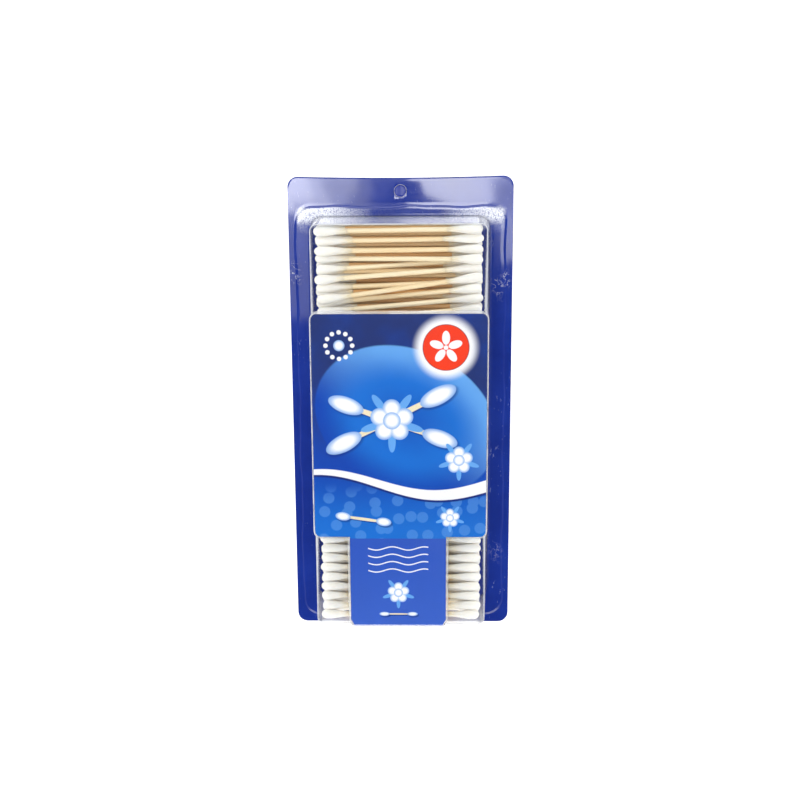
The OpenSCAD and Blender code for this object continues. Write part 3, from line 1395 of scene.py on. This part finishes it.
@dataclass
class FilmBlister:
    """The formed clear blister, with its raised label section and tongue."""

    name: str = "clear_blister"
    welded: float = 0.002
    flat_within: float = 0.4
    large: float = 40.0
    edge_band: float = 0.6
    half_lean: float = 0.66
    lean_band: float = 0.32
    full: float = 1.05
    marks_above: float = 5.0
    # How strongly the head wall and the side walls are painted white as highlight.
    head_wall_glare: float = 0.9
    side_wall_glare: float = 0.2
    finish: ClearFilm = ClearFilm()

    def build(self) -> None:
        """Copies the frame's film, insets its large flats, marks where its rolled edges and walls are
        painted white as highlight, and dresses it.
        """
        film = add(self.name, bpy.data.objects["blister_shell"].data.copy())
        film.data.name = self.name
        film.data.materials.clear()
        pick(film)
        mode("EDIT")
        select_all()
        bpy.ops.mesh.remove_doubles(threshold=self.welded * MM)
        bpy.ops.mesh.dissolve_limited(angle_limit=math.radians(self.flat_within))
        select_where(film, Part.FACE, lambda face: face.calc_area() > self.large * MM * MM)
        bpy.ops.mesh.inset(thickness=self.edge_band * MM, use_individual=True)
        select_all()
        bpy.ops.mesh.quads_convert_to_tris()
        mode("OBJECT")
        mark(film, "painted_edge_glare", self.painted_glare(read(film, "co"), read(film, "normal")))
        smooth(film, 33.0)
        put_on(film, self.finish.material(), "clear_film", "blister_shell")

    def painted_glare(self, places: np.ndarray, normals: np.ndarray) -> np.ndarray:
        """Gives where the film is painted white as highlight, most where its rolled edges lean halfway over,
        and on its walls, most on the head wall.

        Args:
            places: one row for each place, in metres.
            normals: which way the film faces there.

        Returns:
            The painted highlight's strength, from 0 to 1.
        """
        lean = normals[:, 2]
        aside, along, upright = np.abs(normals.T)
        rolled = np.clip(self.full - np.abs(lean - self.half_lean) / self.lean_band, 0.0, 1.0)
        rolled *= places[:, 2] > self.marks_above * MM
        head = self.head_wall_glare * along * (places[:, 1] > 0.0)
        walls = np.clip(1.0 - 2.0 * upright, 0.0, 1.0) * (head + self.side_wall_glare * aside)
        return np.maximum(rolled, walls)


@dataclass
class LabelInsert:
    """The printed card behind the raised film, with a tongue whose end is folded back."""

    panel_half: float = 39.5
    panel_high: float = 51.2
    panel_low: float = -52.6
    tongue_left: float = -23.4
    tongue_right: float = 21.2
    face: float = 42.65
    thick: float = 0.3
    corner: float = 2.8
    bend: float = 0.8
    end_taper: float = 1.6
    taper_from: float = 3.0
    fold_depth: float = 9.0
    fold_y: float = -96.2

    def build(self) -> None:
        """Builds and dresses the insert."""
        clear_selection()
        centre = Vector((0.0, (self.panel_high + self.panel_low) / 2, self.face)) * MM
        bpy.ops.mesh.primitive_plane_add(size=1.0, location=centre)
        insert = adopt("printed_insert")
        mode("EDIT")
        resize(2 * self.panel_half * MM, (self.panel_high - self.panel_low) * MM, 1.0, centre)
        for x in (self.tongue_left, self.tongue_right):
            select_all()
            bpy.ops.mesh.bisect(plane_co=(x * MM, 0, 0), plane_no=(1, 0, 0))
        select_where(insert, Part.EDGE, self.is_tongue_root)
        extrude(0.0, self.fold_y + self.taper_from - self.panel_low, 0.0)
        extrude(0.0, -self.taper_from, 0.0)
        width, middle = self.tongue_right - self.tongue_left, (self.tongue_left + self.tongue_right) / 2
        resize(1 - 2 * self.end_taper / width, 1, 1, (middle * MM, self.fold_y * MM, 0))
        extrude(0.0, 0.0, -self.fold_depth)
        select_where(insert, Part.CORNER, self.is_panel_corner)
        bpy.ops.mesh.bevel(offset=self.corner * MM, segments=6, affect="VERTICES")
        mode("OBJECT")
        round_edges(insert, self.bend, segments=3, sharper=60)
        thicken(insert, self.thick)
        smooth(insert, 40.0)
        put_on(insert, LabelPrint().material(), "label_print", "label_insert")

    def is_tongue_root(self, edge: bmesh.types.BMEdge) -> bool:
        """Tells the panel's lower edge between the tongue's sides.

        Args:
            edge: an edge of the insert.

        Returns:
            True for that edge.
        """
        a, b = (corner.co * PER_MM for corner in edge.verts)
        level = max(abs(a.y - self.panel_low), abs(b.y - self.panel_low)) < TOUCH
        return level and self.tongue_left < (a.x + b.x) / 2 < self.tongue_right

    def is_panel_corner(self, corner: bmesh.types.BMVert) -> bool:
        """Tells the panel's four outer corners."""
        return abs(abs(corner.co.x) * PER_MM - self.panel_half) < TOUCH


@dataclass(frozen=True)
class SwabPose:
    """Where one swab lies: its middle and its direction, in metres."""

    middle: Vector
    along: Vector

    def matrix(self, roll: float) -> Matrix:
        """Gives the matrix that lays a swab modelled along X here.

        Args:
            roll: its turn about its own length, in radians.

        Returns:
            The matrix.
        """
        turn = Vector((1, 0, 0)).rotation_difference(self.along).to_matrix().to_4x4()
        return Matrix.Translation(self.middle) @ turn @ Matrix.Rotation(roll, 4, "X")


@dataclass
class SwabPile:
    """All the swabs, modelled once and laid where the frame's sticks lie."""

    rows: int = 9
    shown_from: int = 8
    length: float = 75.0
    stick: float = 2.2
    stick_end: Span = (0.3, 0.8)
    stick_cap: float = 2.6
    bud: float = 4.52
    bud_length: float = 14.8
    dome: float = 2.6
    tip: float = 0.35
    roundness: float = 0.8
    belly: float = 4.6
    slack: Span = (0.02, 0.04)
    thin_from: float = 9.5
    shortest: float = 0.82
    longest: float = 1.28
    thinnest: float = 0.95
    wood: PaleWood = PaleWood()
    cotton: WoundCotton = WoundCotton()

    def build(self) -> None:
        """Builds and dresses the sticks and the buds of every row."""
        chance = random.Random(SEED)
        templates = {detail: (self.model_stick(detail), self.model_bud(detail)) for detail in Detail}
        wood, cotton = self.wood.material(), self.cotton.material()
        for row in range(1, self.rows + 1):
            stick, bud = templates[Detail.SHOWN if row >= self.shown_from else Detail.BURIED]
            places = [pose.matrix(chance.uniform(0, 2 * math.pi)) for pose in self.poses(row)]
            # Each copy's random tint, plus 1 in the rows under the front one, where the wood's finish paints
            # shade.
            tints = [chance.random() + (row < self.rows) for _ in places]
            sticks = self.lay(f"sticks_of_row_{row}", stick, places, tints)
            put_on(sticks, wood, "pale_wood", f"sticks_{row}")
            ends = [place @ self.at_end(end, chance) for place in places for end in End]
            buds = self.lay(f"buds_of_row_{row}", bud, ends, [tint for tint in tints for _ in End])
            put_on(buds, cotton, "cotton", f"buds_left_{row}", f"buds_right_{row}")
        for pair in templates.values():
            for template in pair:
                bpy.data.objects.remove(template)

    def at_end(self, end: End, chance: random.Random) -> Matrix:
        """Gives the matrix that puts a bud on one end, wound a little longer or fuller than the next.

        Args:
            end: the end it goes on.
            chance: the source of its variation.

        Returns:
            The matrix, in the swab's own frame.
        """
        wound = chance.triangular(self.shortest, self.longest, 1.0)
        full = chance.uniform(self.thinnest, 1.0)
        size = Matrix.Diagonal((wound, full, full, 1.0))
        turn = Matrix.Rotation(0.0 if end is End.RIGHT else math.pi, 4, "Z")
        return turn @ Matrix.Translation((self.length / 2 * MM, 0, 0)) @ size

    def poses(self, row: int) -> list[SwabPose]:
        """Reads where the frame's sticks of one row lie.

        Args:
            row: the row, counted from the card.

        Returns:
            The poses, from the pack's foot to its head.
        """
        clear_selection()
        pick(add("row to read", bpy.data.objects[f"sticks_{row}"].data.copy()))
        mode("EDIT")
        select_all()
        bpy.ops.mesh.remove_doubles(threshold=0.001 * MM)
        bpy.ops.mesh.separate(type="LOOSE")
        mode("OBJECT")
        found: list[SwabPose] = []
        for part in list(bpy.context.selected_objects):
            places = read(part, "co")
            along = np.linalg.svd(places - places.mean(0), full_matrices=False)[2][0]
            found.append(SwabPose(Vector((places.min(0) + places.max(0)) / 2),
                                  Vector(along if along[0] > 0 else -along)))
            bpy.data.objects.remove(part)
        return sorted(found, key=lambda pose: pose.middle.y)

    def turned(self, name: str, stations: Sequence[Span], sides: int) -> Piece:
        """Models a closed round piece by extruding a circle from station to station, then lays it along X.

        Args:
            name: the piece's name.
            stations: place along its length and radius of each ring, in millimetres.
            sides: sides round the piece.

        Returns:
            The piece.
        """
        clear_selection()
        start, first_radius = last, last_radius = stations[0]
        place = (0, 0, start * MM)
        bpy.ops.mesh.primitive_circle_add(vertices=sides, radius=first_radius * MM, location=place)
        piece = adopt(name)
        mode("EDIT")
        bpy.ops.mesh.select_mode(type="VERT")
        select_all()
        for along, radius in stations[1:]:
            extrude(0.0, 0.0, along - last)
            resize(radius / last_radius, radius / last_radius, 1.0, (0, 0, along * MM))
            last, last_radius = along, radius
        bpy.ops.mesh.edge_face_add()
        select_where(piece, Part.CORNER, lambda corner: abs(corner.co.z * PER_MM - start) < TOUCH)
        bpy.ops.mesh.edge_face_add()
        select_all()
        bpy.ops.mesh.normals_make_consistent(inside=False)
        mode("OBJECT")
        piece.data.transform(Matrix.Rotation(math.pi / 2, 4, "Y"))
        return piece

    def model_stick(self, detail: Detail) -> Piece:
        """Models the wooden stick along X, as long as the cotton hides its ends.

        Args:
            detail: how finely it is modelled.

        Returns:
            The stick.
        """
        half, radius = self.length / 2 - self.stick_cap, self.stick / 2
        chamfer, narrow = self.stick_end
        stations = [(-half, radius * narrow), (-half + chamfer, radius), (half - chamfer, radius),
                    (half, radius * narrow)]
        stick = self.turned("stick", stations, max(8, detail.value[0] - 4))
        smooth(stick, 50.0)
        return stick

    def model_bud(self, detail: Detail) -> Piece:
        """Models one bud along X, its tip at the origin and its neck behind it.

        Args:
            detail: how finely it is modelled.

        Returns:
            The bud, with how thinly it is wound in an attribute.
        """
        sides, dome_rings, taper_rings = detail.value
        full, neck = self.bud / 2 - self.slack[0], self.stick / 2 + self.slack[1]
        angles = [math.pi / 2 * k / dome_rings for k in range(dome_rings, -1, -1)]
        stations = [(self.dome * (math.sin(a) - 1), max(full * math.cos(a) ** self.roundness, self.tip))
                    for a in angles]
        stations += [(-self.belly - (self.bud_length - self.belly) * share,
                      full + (neck - full) * (0.5 - 0.5 * math.cos(math.pi * share ** self.roundness)))
                     for share in (k / taper_rings for k in range(taper_rings + 1))]
        bud = self.turned("bud", stations, sides)
        behind = -read(bud, "co")[:, 0] * PER_MM
        mark(bud, "thin", np.clip((behind - self.thin_from) / (self.bud_length - self.thin_from), 0.0, 1.0))
        smooth(bud, 60.0)
        return bud

    @staticmethod
    def lay(name: str, template: Piece, matrices: Sequence[Matrix], tints: Sequence[float]) -> Piece:
        """Copies a template to every place of a row and joins the copies.

        Args:
            name: the piece's name.
            template: the modelled swab part.
            matrices: where each copy goes.
            tints: each copy's own random tint, 1 more in the rows that lie deep, which the wood's finish
                paints as shade.

        Returns:
            The row as one piece, with the tint of each copy in an attribute.
        """
        copies: list[Piece] = []
        clear_selection()
        for matrix, tint in zip(matrices, tints):
            copy = add(name, template.data.copy())
            copy.data.transform(matrix)
            mark(copy, "tint_and_row_shade", np.full(len(copy.data.vertices), tint))
            copies.append(copy)
        for copy in copies:
            copy.select_set(True)
        bpy.context.view_layer.objects.active = copies[0]
        bpy.ops.object.join()
        copies[0].name = copies[0].data.name = name
        return copies[0]


@dataclass
class PhotoCamera:
    """The camera, where it stood for the photograph, in millimetres."""

    stand: tuple[float, float, float] = (11.654, 107.718, 520.0)
    target: tuple[float, float, float] = (-0.273, 7.606, 20.0)
    roll: float = -0.006
    lens: float = 48.5
    sensor: float = 36.0

    def build(self) -> None:
        """Adds the camera and makes it the scene's."""
        data = bpy.data.cameras.new("Camera")
        data.lens = self.lens
        data.sensor_width = self.sensor
        data.clip_start, data.clip_end = 0.01, 50.0
        ahead = (Vector(self.target) - Vector(self.stand)).normalized()
        right = ahead.cross(Vector((0, 1, 0))).normalized()
        over = right.cross(ahead)
        c, s = math.cos(self.roll), math.sin(self.roll)
        axes = Matrix((right * c + over * s, over * c - right * s, -ahead)).transposed()
        camera = add("Camera", data)
        camera.matrix_world = Matrix.Translation(Vector(self.stand) * MM) @ axes.to_4x4()
        bpy.context.scene.camera = camera


@dataclass(frozen=True)
class Softbox:
    """One rectangular lamp: centre and size in metres, its brightness, and where it points."""

    name: str
    centre: tuple[float, float, float]
    size: Span
    radiance: float
    aim: tuple[float, float, float] = (0.0, 0.0, 0.0)

    def build(self) -> None:
        """Adds the lamp."""
        data = bpy.data.lights.new(self.name, "AREA")
        data.shape = "RECTANGLE"
        data.size, data.size_y = self.size
        data.energy = math.pi * self.size[0] * self.size[1] * self.radiance
        lamp = add(self.name, data)
        lamp.location = self.centre
        down = Vector(self.aim) - Vector(self.centre)
        lamp.rotation_euler = down.to_track_quat("-Z", "Y").to_euler()


@dataclass(frozen=True)
class TopBox:
    """A lamp that looks straight down: its left, right, near and far edge in metres, and its brightness."""

    name: str
    left: float
    right: float
    low: float
    high: float
    radiance: float
    height: float = 1.0

    def build(self) -> None:
        """Adds the lamp."""
        x, y = (self.left + self.right) / 2, (self.low + self.high) / 2
        size = (self.right - self.left, self.high - self.low)
        Softbox(f"Top box, {self.name}", (x, y, self.height), size, self.radiance, (x, y, 0.0)).build()


@dataclass
class Studio:
    """A pale floor, an even surround and soft lamps."""

    white: Colour = (1.0, 1.0, 1.0, 1.0)
    floor_size: float = 6.0
    floor_drop: float = 0.02
    floor_colour: Colour = (0.86, 0.86, 0.87, 1.0)
    floor_roughness: float = 0.9
    floor_glow: float = 0.55
    horizon: float = 1.0
    overhead: float = 0.08
    rise: Span = (0.0, 0.9)
    fade_from: float = -0.04
    fade_step: float = 0.025
    fade: tuple[float, ...] = (0.5, 2.0, 4.8, 8.0, 11.0)
    boxes: tuple[TopBox | Softbox, ...] = (
        TopBox("left", -0.325, -0.165, 0.07, 0.38, 11.6),
        TopBox("right", 0.01, 0.106, 0.07, 0.38, 9.3),
        TopBox("right, inner edge", -0.02, 0.01, 0.1, 0.38, 8.0),
        TopBox("right, outer part", 0.106, 0.33, 0.07, 0.38, 2.3),
        TopBox("right, lower part", 0.106, 0.33, 0.0, 0.07, 4.4),
        TopBox("left, lower part", -0.33, -0.1, -0.08, 0.07, 1.4),
        Softbox("Head box", (0.0, 0.98, 0.75), (1.2, 0.6), 2.2),
        Softbox("Foot box", (0.0, -1.0, 0.7), (1.2, 0.5), 3.6),
        Softbox("Side box, left", (-1.0, 0.0, 0.45), (0.9, 0.3), 3.5),
        Softbox("Side box, right", (1.0, 0.0, 0.45), (0.9, 0.3), 3.5),
    )

    def build(self) -> None:
        """Builds the surround, the floor and the lamps, the left one fading out towards the middle."""
        self.world()
        self.floor()
        for box in self.boxes:
            box.build()
        for k, radiance in enumerate(self.fade):
            right = self.fade_from - k * self.fade_step
            TopBox(f"left, fade {k}", right - self.fade_step, right, 0.07, 0.38, radiance).build()

    def floor(self) -> None:
        """Adds the floor, white to the camera apart from the pack's soft shadow."""
        clear_selection()
        bpy.ops.mesh.primitive_plane_add(size=self.floor_size, location=(0, 0, -self.floor_drop * MM))
        floor = adopt("floor")
        made, graph, shader = new_material("pale floor")
        seen = graph.node("ShaderNodeLightPath").outputs["Is Camera Ray"]
        graph.fill(shader, Base_Color=self.floor_colour, Roughness=self.floor_roughness,
                   Emission_Color=self.white, Emission_Strength=graph.times(seen, self.floor_glow))
        floor.data.materials.append(made)

    def world(self) -> None:
        """Sets an even surround that the camera sees as white."""
        world = bpy.data.worlds.new("Surround")
        bpy.context.scene.world = world
        world.use_nodes = True
        graph = Graph(world.node_tree)
        seen = graph.node("ShaderNodeLightPath").outputs["Is Camera Ray"]
        up = graph.split(graph.node("ShaderNodeTexCoord").outputs["Generated"])[2]
        room = graph.spread(up, self.rise, (self.horizon, self.overhead))
        graph.fill(world.node_tree.nodes["Background"], Color=self.white,
                   Strength=graph.math("MAXIMUM", room, seen))


def main() -> None:
    """Loads the frame, builds every piece round it and sets up the studio."""
    logging.basicConfig(level=logging.INFO, format="%(name)s: %(message)s")
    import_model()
    PhotoCamera().build()
    SharedGroups().build()
    BoardPlies().build()
    HoleDisc().build()
    FilmBlister().build()
    LabelInsert().build()
    SwabPile().build()
    Studio().build()
    bpy.context.scene.view_settings.view_transform = "Standard"


if __name__ == "__main__":
    main()
